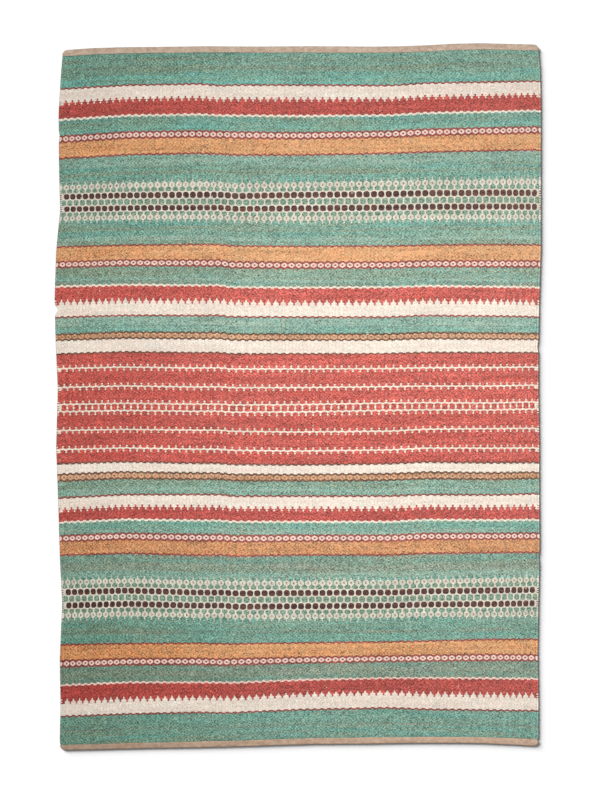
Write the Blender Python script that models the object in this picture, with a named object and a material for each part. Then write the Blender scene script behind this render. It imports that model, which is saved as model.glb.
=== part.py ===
"""A flat-woven jute kilim, laid flat, with a tape folded and sewn over each end.

Metres, +Z up. +X runs across the rug, +Y along it towards the head end, and
the origin lies on the floor under the middle of the outline.
"""

import math
from collections import namedtuple

import bmesh
import bpy

# The rug as a whole
WIDTH = 1.200
LENGTH = 1.746
THICKNESS = 0.0062

# The warp ribs, which run the rug's whole length on its face
RIBS = 136
RIB_RELIEF = 0.0012
RIBS_PER_KNOT = 8

# The section of a selvedge: the outermost line, and how far the face and the underside draw in
SELVEDGE_HEIGHT = 0.0028
SELVEDGE_FACE_DROP = 0.0008
SELVEDGE_FACE_INSET = 0.0009
SELVEDGE_UNDER_INSET = 0.0016

# The end tapes, and the pressed end of the cloth inside each fold
TAPE_THICKNESS = 0.0010
TAPE_HEAD_SHOWN = 0.0160
TAPE_FOOT_SHOWN = 0.0180
PRESSED_THICKNESS = 0.0032
PRESSED_SIDE_INSET = 0.0040
CLEARANCE = 0.0003
STEP_CLEARANCE = 0.0006
FOLD_STEPS = 6

# How far each selvedge strays out of line, by the distance from the foot
Selvedge = namedtuple("Selvedge", "along left right")
SELVEDGES = (
    Selvedge(along=0.000, left=-0.003, right=-0.006),
    Selvedge(along=0.030, left=-0.001, right=-0.004),
    Selvedge(along=0.112, left=-0.003, right=-0.004),
    Selvedge(along=0.225, left=-0.001, right=-0.006),
    Selvedge(along=0.350, left=-0.007, right=-0.004),
    Selvedge(along=0.475, left=-0.001, right=-0.001),
    Selvedge(along=0.613, left=0.003, right=-0.002),
    Selvedge(along=0.738, left=0.008, right=-0.002),
    Selvedge(along=0.887, left=0.004, right=-0.004),
    Selvedge(along=1.000, left=0.009, right=-0.004),
    Selvedge(along=1.112, left=0.012, right=-0.002),
    Selvedge(along=1.236, left=0.008, right=0.002),
    Selvedge(along=1.336, left=-0.002, right=0.002),
    Selvedge(along=1.460, left=0.001, right=0.002),
    Selvedge(along=1.586, left=0.002, right=0.002),
    Selvedge(along=1.686, left=-0.004, right=0.000),
    Selvedge(along=1.746, left=-0.009, right=-0.005),
)

# How far each end strays out of line, by the distance from the left selvedge
End = namedtuple("End", "across head foot")
ENDS = (
    End(across=0.000, head=-0.010, foot=0.010),
    End(across=0.100, head=-0.005, foot=0.008),
    End(across=0.225, head=-0.003, foot=0.005),
    End(across=0.360, head=0.000, foot=0.003),
    End(across=0.475, head=-0.001, foot=0.000),
    End(across=0.625, head=0.000, foot=-0.005),
    End(across=0.775, head=-0.001, foot=-0.006),
    End(across=0.885, head=0.000, foot=-0.008),
    End(across=0.960, head=0.005, foot=-0.008),
    End(across=1.035, head=0.008, foot=-0.008),
    End(across=1.110, head=0.006, foot=-0.005),
    End(across=1.200, head=0.004, foot=0.000),
)

# Soft ridges left along the rug where it has been folded in three
Crease = namedtuple("Crease", "across height half_width")
CREASES = (
    Crease(across=0.417, height=0.0015, half_width=0.030),
    Crease(across=0.866, height=0.0008, half_width=0.030),
)

LINES = 2 * RIBS
LINES_PER_KNOT = 2 * RIBS_PER_KNOT
KNOTS = RIBS // RIBS_PER_KNOT
FOLD_RADIUS = TAPE_THICKNESS + CLEARANCE + PRESSED_THICKNESS / 2


def read_table(rows, column, at, value):
    """The value of one column between two rows of a table, on a straight line."""
    for low, high in zip(rows, rows[1:]):
        if at <= getattr(high, column):
            break
    start, end = getattr(low, column), getattr(high, column)
    share = (at - start) / (end - start)
    return getattr(low, value) + share * (getattr(high, value) - getattr(low, value))


HEAD_KNOTS = [read_table(ENDS, "across", WIDTH * k / KNOTS, "head") for k in range(KNOTS + 1)]
FOOT_KNOTS = [read_table(ENDS, "across", WIDTH * k / KNOTS, "foot") for k in range(KNOTS + 1)]
CENTRE_X = (max(row.right for row in SELVEDGES) - max(row.left for row in SELVEDGES)) / 2
CENTRE_Y = (max(HEAD_KNOTS) - max(FOOT_KNOTS)) / 2


def between_knots(knots, share):
    """How far an end strays at a share of the width, straight from knot to knot."""
    position = min(max(share * KNOTS, 0.0), KNOTS - 1e-9)
    knot = int(position)
    return knots[knot] + (position - knot) * (knots[knot + 1] - knots[knot])


def place(share, along):
    """The plan point at a share of the width and a distance from the foot."""
    left = read_table(SELVEDGES, "along", along, "left")
    right = read_table(SELVEDGES, "along", along, "right")
    head = between_knots(HEAD_KNOTS, share)
    foot = between_knots(FOOT_KNOTS, share)
    x = -WIDTH / 2 - left + share * (WIDTH + left + right)
    y = -LENGTH / 2 - foot + along / LENGTH * (LENGTH + foot + head)
    return x - CENTRE_X, y - CENTRE_Y


def face_height(line):
    """The height of the face on one rib line: odd lines are crests, even ones valleys."""
    height = THICKNESS if line % 2 else THICKNESS - RIB_RELIEF
    across = WIDTH * line / LINES
    for crease in CREASES:
        height += crease.height * math.exp(-(((across - crease.across) / crease.half_width) ** 2))
    return height


def plain_material(name, colour, roughness):
    material = bpy.data.materials.new(name)
    material.use_nodes = True
    shader = material.node_tree.nodes["Principled BSDF"]
    shader.inputs["Base Color"].default_value = (*colour, 1.0)
    shader.inputs["Roughness"].default_value = roughness
    shader.inputs["Metallic"].default_value = 0.0
    material.diffuse_color = (*colour, 1.0)
    return material


def add_object(name, mesh_builder, material):
    """A new object from a filled bmesh, with its faces turned outwards."""
    bmesh.ops.recalc_face_normals(mesh_builder, faces=mesh_builder.faces)
    mesh = bpy.data.meshes.new(name)
    mesh_builder.to_mesh(mesh)
    mesh_builder.free()
    mesh.materials.append(material)
    item = bpy.data.objects.new(name, mesh)
    bpy.context.scene.collection.objects.link(item)
    return item


def knot_row(builder, along, height, side_inset):
    """Points at one height across the rug, one at each knot, drawn in at the two sides."""
    inset = side_inset / WIDTH
    shares = [k / KNOTS for k in range(KNOTS + 1)]
    shares[0], shares[-1] = inset, 1.0 - inset
    return [builder.verts.new((*place(share, along), height)) for share in shares]


def face_row(builder, along):
    """The face's points across the rug at one distance from the foot."""
    inset = SELVEDGE_FACE_INSET / WIDTH
    row = []
    for line in range(LINES + 1):
        share = line / LINES
        height = face_height(line)
        if line in (0, LINES):
            share = min(max(share, inset), 1.0 - inset)
            height -= SELVEDGE_FACE_DROP
        row.append(builder.verts.new((*place(share, along), height)))
    return row


def add_step(builder, face, side, under, pressed_top, pressed_under):
    """The wall from the full cloth down and up to its pressed end, bay by bay between knots."""
    for k in range(KNOTS):
        first, last = k == 0, k == KNOTS - 1
        crest_line = face[k * LINES_PER_KNOT:(k + 1) * LINES_PER_KNOT + 1]
        upper = crest_line[::-1]
        lower = [under[k], under[k + 1]]
        if first:
            ring = [*upper, side[0], *lower, pressed_under[1], pressed_under[0], pressed_top[0], pressed_top[1]]
            builder.faces.new(ring)
        elif last:
            ring = [*upper, pressed_top[k], pressed_top[k + 1], pressed_under[k + 1], pressed_under[k], *lower]
            builder.faces.new([*ring, side[1]])
        else:
            builder.faces.new([*upper, pressed_top[k], pressed_top[k + 1]])
            builder.faces.new([*lower, pressed_under[k + 1], pressed_under[k]])


def add_pressed_end(builder, pressed_top, pressed_under, end_along):
    """The pressed tongue of cloth that lies inside a fold of tape."""
    low = TAPE_THICKNESS + CLEARANCE
    tip_top = knot_row(builder, end_along, low + PRESSED_THICKNESS, PRESSED_SIDE_INSET)
    tip_under = knot_row(builder, end_along, low, PRESSED_SIDE_INSET)
    loops = [pressed_top, tip_top, tip_under, pressed_under]
    for row, following in zip(loops, loops[1:]):
        for k in range(KNOTS):
            builder.faces.new([row[k], row[k + 1], following[k + 1], following[k]])
    for k in (0, KNOTS):
        builder.faces.new([row[k] for row in loops])


def build_cloth():
    """The woven rug itself: ribs raised on the face, a flat underside and two pressed ends."""
    builder = bmesh.new()
    start = TAPE_FOOT_SHOWN + STEP_CLEARANCE
    stop = LENGTH - TAPE_HEAD_SHOWN - STEP_CLEARANCE
    stations = [start, *(row.along for row in SELVEDGES if start < row.along < stop), stop]

    faces = [face_row(builder, along) for along in stations]
    sides = []
    for along in stations:
        ends = [builder.verts.new((*place(share, along), SELVEDGE_HEIGHT)) for share in (0.0, 1.0)]
        sides.append(ends)
    for row, following in zip(faces, faces[1:]):
        for line in range(LINES):
            builder.faces.new([row[line], row[line + 1], following[line + 1], following[line]])

    foot_under = knot_row(builder, start, 0.0, SELVEDGE_UNDER_INSET)
    head_under = knot_row(builder, stop, 0.0, SELVEDGE_UNDER_INSET)
    inset = SELVEDGE_UNDER_INSET / WIDTH
    unders = [foot_under]
    for along in stations[1:-1]:
        unders.append([builder.verts.new((*place(share, along), 0.0)) for share in (inset, 1.0 - inset)])
    unders.append(head_under)
    for row, following in zip(unders, unders[1:]):
        builder.faces.new([*row, *following[::-1]])

    for j in range(len(stations) - 1):
        for end in (0, 1):
            at = -end
            top = [faces[j][at], faces[j + 1][at]]
            middle = [sides[j][end], sides[j + 1][end]]
            bottom = [unders[j][at], unders[j + 1][at]]
            builder.faces.new([*top, *middle[::-1]])
            builder.faces.new([*middle, *bottom[::-1]])

    low = TAPE_THICKNESS + CLEARANCE
    ends = (
        (0, foot_under, start, FOLD_RADIUS),
        (-1, head_under, stop, LENGTH - FOLD_RADIUS),
    )
    for j, under, along, tip in ends:
        pressed_top = knot_row(builder, along, low + PRESSED_THICKNESS, PRESSED_SIDE_INSET)
        pressed_under = knot_row(builder, along, low, PRESSED_SIDE_INSET)
        add_step(builder, faces[j], sides[j], under, pressed_top, pressed_under)
        add_pressed_end(builder, pressed_top, pressed_under, tip)

    weave = plain_material("jute_weave", (0.36, 0.44, 0.36), 0.93)
    return add_object("kilim_cloth", builder, weave)


def tape_section(shown):
    """The folded tape's section, as distances in from the fold and heights, outside then inside."""
    outside = [(shown, 2 * FOLD_RADIUS)]
    inside = [(shown, TAPE_THICKNESS)]
    for step in range(FOLD_STEPS + 1):
        turn = math.pi * step / FOLD_STEPS
        reach, rise = math.sin(turn), math.cos(turn)
        outside.append((FOLD_RADIUS * (1 - reach), FOLD_RADIUS * (1 + rise)))
        radius = FOLD_RADIUS - TAPE_THICKNESS
        inside.append((FOLD_RADIUS - radius * reach, FOLD_RADIUS - radius * rise))
    outside.append((shown, 0.0))
    inside.append((shown, 2 * FOLD_RADIUS - TAPE_THICKNESS))
    return outside + inside


def build_binding(name, shown, at_head, material):
    """A strip of tape folded over one end of the cloth, flush with both selvedges."""
    builder = bmesh.new()
    rows = []
    for k in range(KNOTS + 1):
        row = []
        for depth, height in tape_section(shown):
            along = LENGTH - depth if at_head else depth
            row.append(builder.verts.new((*place(k / KNOTS, along), height)))
        rows.append(row)
    for row, following in zip(rows, rows[1:]):
        for a in range(len(row)):
            b = (a + 1) % len(row)
            builder.faces.new([row[a], row[b], following[b], following[a]])
    builder.faces.new(rows[0])
    builder.faces.new(rows[-1])
    return add_object(name, builder, material)


def main():
    for item in list(bpy.data.objects):
        bpy.data.objects.remove(item)
    build_cloth()
    tape = plain_material("cotton_tape", (0.56, 0.37, 0.26), 0.88)
    build_binding("binding_head", TAPE_HEAD_SHOWN, True, tape)
    build_binding("binding_foot", TAPE_FOOT_SHOWN, False, tape)


main()
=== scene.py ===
"""The looks of a flat-woven jute kilim, laid flat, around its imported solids.

Metres, +Z up. +X runs across the rug, +Y along it towards the head end. The face is made
stitch by stitch: each pick of weft shows over every second warp, so a rib of stitches runs
the whole length of the rug over each warp. Picks are counted from the head end down.
"""

import math
from collections import namedtuple

import bpy
import numpy as np
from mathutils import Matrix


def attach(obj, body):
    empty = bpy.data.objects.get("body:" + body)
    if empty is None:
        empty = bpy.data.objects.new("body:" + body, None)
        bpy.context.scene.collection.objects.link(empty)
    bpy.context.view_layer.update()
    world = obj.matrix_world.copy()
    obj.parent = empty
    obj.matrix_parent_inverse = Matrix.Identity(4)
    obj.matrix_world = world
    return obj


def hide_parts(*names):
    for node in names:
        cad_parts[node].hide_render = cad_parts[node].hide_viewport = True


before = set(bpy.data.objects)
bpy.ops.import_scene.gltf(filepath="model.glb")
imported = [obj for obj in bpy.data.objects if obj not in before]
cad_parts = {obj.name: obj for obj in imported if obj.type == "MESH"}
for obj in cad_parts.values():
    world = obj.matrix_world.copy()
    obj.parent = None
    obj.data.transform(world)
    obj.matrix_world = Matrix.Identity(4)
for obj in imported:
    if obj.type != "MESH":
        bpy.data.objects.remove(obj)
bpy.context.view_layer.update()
RANDOM = np.random.default_rng(17)

# The rug as a whole, as in its solids
WIDTH = 1.200
LENGTH = 1.746
THICKNESS = 0.0062
TAPE_THICKNESS = 0.0010
TAPE_HEAD_SHOWN = 0.0160
TAPE_FOOT_SHOWN = 0.0180
FOOT_TAPE_NARROWER = 0.20
FOOT_TAPE_DRAWN_IN = 0.15
FOOT_TAPE_DRAWN_OVER = 0.008
TAPE_EDGE_WANDER = 0.0004
TAPE_PUCKERS = 0.00012
TAPE_OVER_CREASE = 0.8
FOOT_LONGER = 0.0017
PRESSED_LOW = 0.0013
PRESSED_HIGH = 0.0044
PRESSED_SIDE_INSET = 0.0042
SQUEEZE_OVER = (0.0004, 0.0032)
PULL_OVER = (-0.0010, 0.0030)
CLEAR_OF_FOLD = 0.0004
FOLD_RADIUS = 0.0029
KNOTS = 17
CORNER_RADIUS = 0.011

# One pick of weft and one stitch
PICK = 0.0024
UNDERSIDE_PICKS = 3
STITCH_GROOVE = 0.0010
RIB_VALLEY = 0.0007
UNDERSIDE_GROOVE = 0.0006
UNDERSIDE_VALLEY = 0.0009
# Painted shade, as shares of a crest's: on the underside and in the grooves between picks
UNDERSIDE_PAINTED_SHADE = 0.7
HIDDEN_PAINTED_SHADE = 0.35
HEIGHT_JITTER = 0.00028
HEIGHT_WANDER = 0.00015
FLANK_JITTER = 0.00008
BORDER_JITTER = 0.00022
WEFT_WANDER = 0.00022
THIN_YARN_LOWER = 0.0008
ZIGZAG = 0.15
HIDDEN_JITTER_SHARE = 0.4

# Where a weft turns at a selvedge: its width, how unevenly it bulges, and its outer edge and its
# top, each value with what a full bulge adds to it
TURN_WIDTH = 0.0045
TURN_JITTER = 0.3
TURN_REACH = 0.0016
EDGE_OUT = (-0.0002, 0.0005)
EDGE_HEIGHT = (0.0030, 0.0003)
# Painted shade at a turn's outer edge
EDGE_POINT_PAINTED_SHADE = 0.45
TOP_REACH = (TURN_REACH, -0.0004)
TOP_HEIGHT = (THICKNESS - 0.0009, 0.0005)
# Painted shade at a turn's top, lighter where it bulges more
TOP_PAINTED_SHADE = (0.75, 0.25)
BESIDE_TURN_HEIGHT = THICKNESS - 0.0008

# The share of a stitch that each flank takes: as a rule, and row by row down a ring's sides and core
FLANK_SHARE = 0.29
RING_SIDES = (0.06, 0.27, 0.32, 0.27, 0.06)
CORE_SIDES = (0.38, 0.24, 0.38)

# How far each selvedge strays out of line, by the distance from the foot
Selvedge = namedtuple("Selvedge", "along left right")
SELVEDGES = (
    Selvedge(0.000, -0.003, -0.006),
    Selvedge(0.030, -0.001, -0.004),
    Selvedge(0.112, -0.003, -0.004),
    Selvedge(0.225, -0.001, -0.006),
    Selvedge(0.350, -0.007, -0.004),
    Selvedge(0.475, -0.001, -0.001),
    Selvedge(0.613, 0.003, -0.002),
    Selvedge(0.738, 0.008, -0.002),
    Selvedge(0.887, 0.004, -0.004),
    Selvedge(1.000, 0.009, -0.004),
    Selvedge(1.112, 0.012, -0.002),
    Selvedge(1.236, 0.008, 0.002),
    Selvedge(1.336, -0.002, 0.002),
    Selvedge(1.460, 0.001, 0.002),
    Selvedge(1.586, 0.002, 0.002),
    Selvedge(1.686, -0.004, 0.000),
    Selvedge(1.746, -0.009, -0.005),
)

# Small bites where the wefts are pulled in at a selvedge, by the distance from the foot
Nick = namedtuple("Nick", "along side depth half_width")
NICKS = (
    Nick(1.0875, "left", 0.0075, 0.009),
    Nick(1.5300, "left", 0.0020, 0.012),
    Nick(0.9950, "right", 0.0025, 0.012),
    Nick(0.4650, "right", 0.0025, 0.010),
)

NICK_REACH = 0.020

# How far each end strays out of line, by the distance from the left selvedge
End = namedtuple("End", "across head foot")
ENDS = (
    End(0.000, -0.010, 0.010),
    End(0.100, -0.003, 0.008),
    End(0.225, -0.002, 0.005),
    End(0.360, 0.000, 0.003),
    End(0.475, -0.001, 0.000),
    End(0.625, 0.000, -0.005),
    End(0.775, -0.001, -0.006),
    End(0.885, 0.000, -0.008),
    End(0.960, 0.005, -0.008),
    End(1.035, 0.008, -0.008),
    End(1.110, 0.006, -0.005),
    End(1.200, 0.004, 0.000),
)

# How far the wefts bow towards the head, in millimetres, at places across the rug
BOW_ACROSS = (0.017, 0.167, 0.346, 0.406, 0.436, 0.600, 0.825, 0.915, 1.087, 1.185)
Bow = namedtuple("Bow", "along rim left outer fold_left fold_right middle inner right far far_rim")
BOWS = (
    Bow(0.065, -16, -10, -6, -7, -6, 0, 4, 1, -2, -3),
    Bow(0.125, -17, -12, -8, -9, -9, 0, 5, 1, -1, -2),
    Bow(0.162, -13, -6, -6, -6, -7, 0, 5, 5, 4, 3),
    Bow(0.212, -9, -4, -3, -5, -4, 0, 4, 5, 7, 6),
    Bow(0.272, -3, -1, 0, -1, -2, 0, 2, 4, 9, 10),
    Bow(0.314, 2, 6, 2, 3, -1, 0, 2, 5, 5, 7),
    Bow(0.400, 2, 6, 1, 1, -1, 0, 1, 4, 7, 8),
    Bow(0.470, 0, 4, -1, 0, -3, 0, 0, 4, 6, 7),
    Bow(0.556, -1, 6, 3, 3, 0, 0, 0, 5, 4, 5),
    Bow(0.621, -4, 4, 4, 4, 0, 0, 0, 4, 3, 6),
    Bow(0.698, 3, 8, 4, 4, 1, 0, 3, 7, 5, 6),
    Bow(0.776, 4, 7, 5, 5, 2, 0, 2, 7, 9, 9),
    Bow(0.843, 0, 3, 1, 1, -1, 0, 4, 5, 4, 7),
    Bow(0.933, 1, 5, 2, 3, 0, 0, 1, 3, 4, 5),
    Bow(1.038, -1, 5, 4, 4, 0, 0, 0, 4, 2, 1),
    Bow(1.088, 0, 4, 4, 5, 1, 0, 0, 4, 3, 1),
    Bow(1.145, 3, 7, 6, 6, 1, 0, 1, 4, 2, 1),
    Bow(1.197, 2, 7, 6, 6, 1, 0, 1, 4, 4, 4),
    Bow(1.245, -1, 3, 5, 4, 1, 0, 1, 3, 5, 4),
    Bow(1.302, 1, 4, 5, 4, 1, 0, 2, 4, 4, 4),
    Bow(1.362, -4, -1, 0, 0, -3, 0, 2, 4, 5, 4),
    Bow(1.427, -9, -1, 3, 1, -2, 0, 4, 6, 9, 10),
    Bow(1.527, -8, 2, 5, 3, 2, 0, 4, 9, 13, 15),
    Bow(1.646, -9, 0, 3, -2, 0, 0, -1, 5, 8, 10),
)

# Soft ridges left along the rug where it has been folded in three
Crease = namedtuple("Crease", "across height half_width")
CREASES = (
    Crease(0.417, 0.0015, 0.030),
    Crease(0.866, 0.0008, 0.030),
)

# Where some of the warps lie, counted from the left
WARPS = 137
Warp = namedtuple("Warp", "number across")
WARP_PLACES = (
    Warp(0, 0.0091),
    Warp(1, 0.0171),
    Warp(17, 0.1425),
    Warp(25, 0.2090),
    Warp(33, 0.2800),
    Warp(39, 0.3320),
    Warp(43, 0.3670),
    Warp(49, 0.4190),
    Warp(65, 0.5660),
    Warp(81, 0.7100),
    Warp(97, 0.8570),
    Warp(113, 1.0020),
    Warp(125, 1.1060),
    Warp(135, 1.1835),
    Warp(136, 1.1912),
)

# Dyed yarns, as they look in full light: two tones that drift into each other, the girth, and
# how far the yarn takes part in the painted shade that darkens the rug towards its left and its ends
Yarn = namedtuple("Yarn", "tone second_tone girth fades", defaults=(1.0, 1.0))
YARNS = {
    "sea": Yarn((145, 174, 158), (129, 172, 157)),
    "mist": Yarn((156, 180, 164), (141, 174, 159)),
    "aqua": Yarn((132, 185, 173), (142, 176, 157)),
    "olive": Yarn((139, 169, 153), (145, 163, 143)),
    "moss": Yarn((147, 160, 143), (132, 165, 150)),
    "ash": Yarn((154, 166, 150), (144, 161, 143)),
    "lagoon": Yarn((128, 172, 159), (143, 167, 148)),
    "brick": Yarn((204, 107, 97), (192, 96, 86)),
    "madder": Yarn((197, 102, 93), (185, 94, 86)),
    "wine": Yarn((163, 91, 84), (148, 79, 72), 0.9, 0.6),
    "rose": Yarn((170, 94, 88), (152, 82, 77), 1.0, 0.4),
    "rust": Yarn((138, 92, 78), (120, 78, 64), 0.9, 0.6),
    "cream": Yarn((237, 225, 210), (231, 215, 201), 1.0, 0.0),
    "pearl": Yarn((240, 213, 198), (231, 198, 184), 1.0, 0.0),
    "white": Yarn((238, 225, 207), (226, 214, 195), 0.6, 0.0),
    "chalk": Yarn((227, 217, 200), (208, 202, 185), 0.5, 0.0),
    "ochre": Yarn((225, 175, 130), (213, 161, 117)),
    "sand": Yarn((214, 163, 121), (202, 149, 108)),
    "peach": Yarn((216, 170, 134), (200, 150, 112), 1.0, 0.3),
    "hazel": Yarn((165, 128, 106), (153, 116, 94), 1.0, 0.3),
    "umber": Yarn((93, 67, 62), (112, 80, 71)),
    "walnut": Yarn((122, 90, 73), (108, 82, 65), 0.8, 0.5),
    "sage": Yarn((140, 166, 146), (128, 152, 132), 1.0, 0.6),
    "dusk": Yarn((168, 160, 148), (152, 150, 136), 1.0, 0.3),
}

# Painted shade, as a power on the dyes: the rug is painted darker towards its left selvedge and
# towards both ends, by the distance from the left selvedge and by the distance from the foot
PAINTED_SHADE_ACROSS = ((0.07, 0.16), (0.24, 0.12), (0.50, 0.03), (0.85, 0.03), (1.10, 0.00))
PAINTED_SHADE_ALONG = (
    *((0.05, 0.10), (0.25, 0.15), (0.50, 0.12), (0.75, 0.07)),
    *((1.05, 0.02), (1.29, 0.08), (1.70, 0.14)),
)

# How many times the first of these counts again, by the distance from the foot: the painted
# shade is darkest at the left of the foot's end
PAINTED_SHADE_AGAIN = ((0.00, 0.6), (0.12, 0.9), (0.30, 0.8), (0.44, 0.0))

# Charts, one mark for each pick: a digit is one of the band's yarns, "s" the side of a ring
# (second yarn at its flanks, fourth in the middle), "c" its core (third yarn in the middle) and
# "o" a core of the fifth yarn
CHARTS = {
    "plain": "1",
    "line": "11",
    "teeth": "1212",
    "buds": "1212",
    "ticks": "212212",
    "rings": "112scs211",
    "squares": "2122121212212",
    "dots": "212sos24242232323224242422323232242" + "42sos212",
}

# How deep the picks of some charts are beside each other
PICK_SHARES = {
    "ticks": (22, 22, 27, 27, 25, 22),
    "squares": (22, 28, 26, 26, 26, 26, 26, 26, 26, 26, 26, 44, 22),
}

# How far the odd ribs swell into the even ones down a chart, in hundredths of a rib, from the pick
# before the chart to the pick after it. The thick yarn bulges, and the thin one is drawn in.
RING_SWELLS = (-38, 0, 13, 16, 13, 0, -38)
DOT_SWELLS = (-13, 24, 33, 35, 33, 24, -13)
LEAF_SWELLS = (10, -24, -31, -30, -31, -24, 10)
SWELLS = {
    "teeth": (-42, -30, -20, 32, 22, 42),
    "buds": (-36, -18, -34, 49, 17, 44),
    "ticks": (-32, -19, -49, 16, -16, 49, 19, 32),
    "rings": (0, 4, *RING_SWELLS, 4, 0),
    "squares": (-32, -19, -49, 14, -14, 49, 23, 19, 23, 49, -14, 14, -49, -19, -32),
    "dots": (
        *(-36, -28, -46, -4, 7, 11, 7, 0, -30, -26, -28, 10),
        *DOT_SWELLS,
        *LEAF_SWELLS,
        *DOT_SWELLS,
        *(10, -28, -26, -30, 0, 7, 11, 7, -4, -46, -28, -36),
    ),
}

# The bands from the head end to the foot: the depth in millimetres at the middle, the yarns and,
# where a band isn't plain, its chart. Plain bands that follow each other share a line.
Band = namedtuple("Band", "depth yarns chart", defaults=("plain",))
BANDS = (
    Band(27.4, "sea"), Band(10.0, "olive"), Band(10.0, "sea"), Band(15.0, "olive"),
    Band(10.0, "lagoon"), Band(23.2, "aqua"),
    Band(3.8, "wine", "line"),
    Band(29.1, "cream"),
    Band(10.0, "madder cream", "buds"),
    Band(33.9, "madder"),
    Band(5.2, "white", "line"),
    Band(24.0, "lagoon"), Band(13.0, "aqua"),
    Band(18.7, "wine pearl wine rose", "rings"),
    Band(36.5, "ochre"),
    Band(3.8, "wine", "line"),
    Band(24.6, "mist"), Band(12.5, "lagoon"), Band(10.0, "olive"), Band(14.2, "sea"),
    Band(107.0, "sea chalk umber sage dusk", "dots"),
    Band(12.5, "lagoon"), Band(10.0, "olive"), Band(5.7, "sea"), Band(7.5, "lagoon"),
    Band(10.0, "mist"), Band(10.7, "olive"),
    Band(3.8, "wine", "line"),
    Band(36.1, "ochre"),
    Band(18.2, "wine pearl wine rose", "rings"),
    Band(15.0, "olive"), Band(12.5, "olive"), Band(6.2, "mist"), Band(10.2, "moss"),
    Band(4.6, "white", "line"),
    Band(29.6, "brick"),
    Band(12.5, "cream brick", "teeth"),
    Band(27.7, "cream"),
    Band(4.0, "wine", "line"),
    Band(21.7, "mist"), Band(16.5, "sea"),
    Band(18.5, "walnut peach hazel hazel", "rings"),
    Band(31.2, "cream"),
    Band(4.0, "rust", "line"),
    Band(28.1, "brick"),
    Band(14.5, "brick white", "ticks"),
    Band(32.0, "brick"),
    Band(14.5, "brick white", "ticks"),
    Band(27.4, "brick"),
    Band(35.0, "brick white", "squares"),
    Band(33.8, "brick"),
    Band(14.5, "brick white", "ticks"),
    Band(32.9, "brick"),
    Band(14.5, "brick white", "ticks"),
    Band(25.0, "brick"),
    Band(3.9, "rust", "line"),
    Band(21.3, "cream"),
    Band(19.0, "walnut peach hazel hazel", "rings"),
    Band(18.0, "olive"), Band(16.3, "mist"),
    Band(3.8, "wine", "line"),
    Band(24.4, "cream"),
    Band(10.7, "madder cream", "buds"),
    Band(24.8, "madder"),
    Band(4.8, "white", "line"),
    Band(17.0, "sea"), Band(12.4, "mist"),
    Band(18.0, "wine pearl wine rose", "rings"),
    Band(30.8, "sand"),
    Band(3.8, "wine", "line"),
    Band(13.1, "moss"), Band(6.2, "moss"), Band(22.5, "ash"), Band(15.0, "mist"),
    Band(106.0, "sea chalk umber sage dusk", "dots"),
    Band(8.6, "sea"), Band(15.0, "lagoon"), Band(10.0, "moss"), Band(19.3, "sea"),
    Band(3.8, "wine", "line"),
    Band(32.5, "ochre"),
    Band(17.5, "wine pearl wine rose", "rings"),
    Band(12.5, "moss"), Band(15.0, "ash"), Band(11.2, "moss"),
    Band(3.8, "pearl", "line"),
    Band(29.6, "madder"),
    Band(10.7, "cream madder", "teeth"),
    Band(30.3, "cream"),
    Band(3.8, "wine", "line"),
    Band(19.7, "sea"), Band(13.7, "lagoon"), Band(6.2, "moss"), Band(48.2, "lagoon"),
)

# The weave is made in this many strips, so that no piece of the cloth has too many triangles
STRIPS = 5

# How much light falls on the rug: a tone above is how its dye looks in that light
FULL_LIGHT = 1.75

# How the dyes vary from streak to streak, stitch to stitch and rib to rib, then painted light and shade
STREAK_VALUE = 0.05
STITCH_VALUE = 0.055
RIB_STREAK_VALUE = 0.035
RIB_STREAK_WARMTH = 0.030
FLANK_VALUE = 0.07
CREAM_CALM = 0.55
SLOW_VALUE = 0.03
STITCH_WARMTH = 0.035
SLOW_WARMTH = 0.02
BLUE_COOLER = 0.4
DARK_RUN_OVER = 2.0
DARK_RUN_SHADE = 0.80
DARK_FLECKS = 0.012
DARK_FLECK_SHADE = 0.66
PALE_FIBRE = (222, 206, 190)
PALE_FLECKS = 0.0015
PALE_FLECK_SHARE = 0.38
# Painted light and shade at the turns, edges, walls, seams and the tapes' folds
TURN_PAINTED_HIGHLIGHT = (1.18, 1.32)
EDGE_PAINTED_LIGHT_AND_SHADE = (0.70, 1.30)
BESIDE_TURN_PAINTED_SHADE = 0.84
WALL_PAINTED_SHADE = 0.45
SEAM_PAINTED_SHADE = 0.8
FOLD_SHADE_REACH = (0.0004, 0.0024)
FOLD_SHADE = (0.50, 1.0)

# Painted shade on the foot's tape, darker towards the left, by the distance from the left selvedge
FOOT_TAPE_PAINTED_SHADE = ((0.10, 0.80), (0.45, 0.92), (0.80, 1.0))

# The tapes' tones where they are dark and pale
HEAD_TAPE_TONES = ((176, 150, 129), (208, 186, 166))
FOOT_TAPE_TONES = ((174, 144, 121), (206, 177, 153))

# The map for the surface: where the face lies on it, and how much higher the underside lies
MAP_LEFT, MAP_WIDE = 0.003, 0.994
MAP_LOW, MAP_TALL = 0.005, 0.485
UNDERSIDE_MAP_UP = 0.505

# How far a ply slants over a rib for each pick
PLY_SLANT = 0.27

# The camera looks straight down on the middle of the picture
CAMERA_X = 0.0056
CAMERA_Y = -0.0090
FRAME_HEIGHT = 1.996
LENS = 85.0
SENSOR = 36.0


def column_of(rows, name):
    return np.array([getattr(row, name) for row in rows], float)


def read_off(rows, places, name):
    """A column of some rows, read off at places along their first column."""
    return np.interp(places, column_of(rows, rows[0]._fields[0]), column_of(rows, name))


def between(pairs, places):
    """Values read off at places between pairs of a place and a value."""
    return np.interp(places, *np.transpose(pairs))


def linear(tone):
    """A colour in linear light from 0 to 255 parts of screen light."""
    part = np.asarray(tone, float) / 255.0
    return np.where(part <= 0.04045, part / 12.92, ((part + 0.055) / 1.055) ** 2.4)


def eased(share):
    return share * share * (3 - 2 * share)


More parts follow.
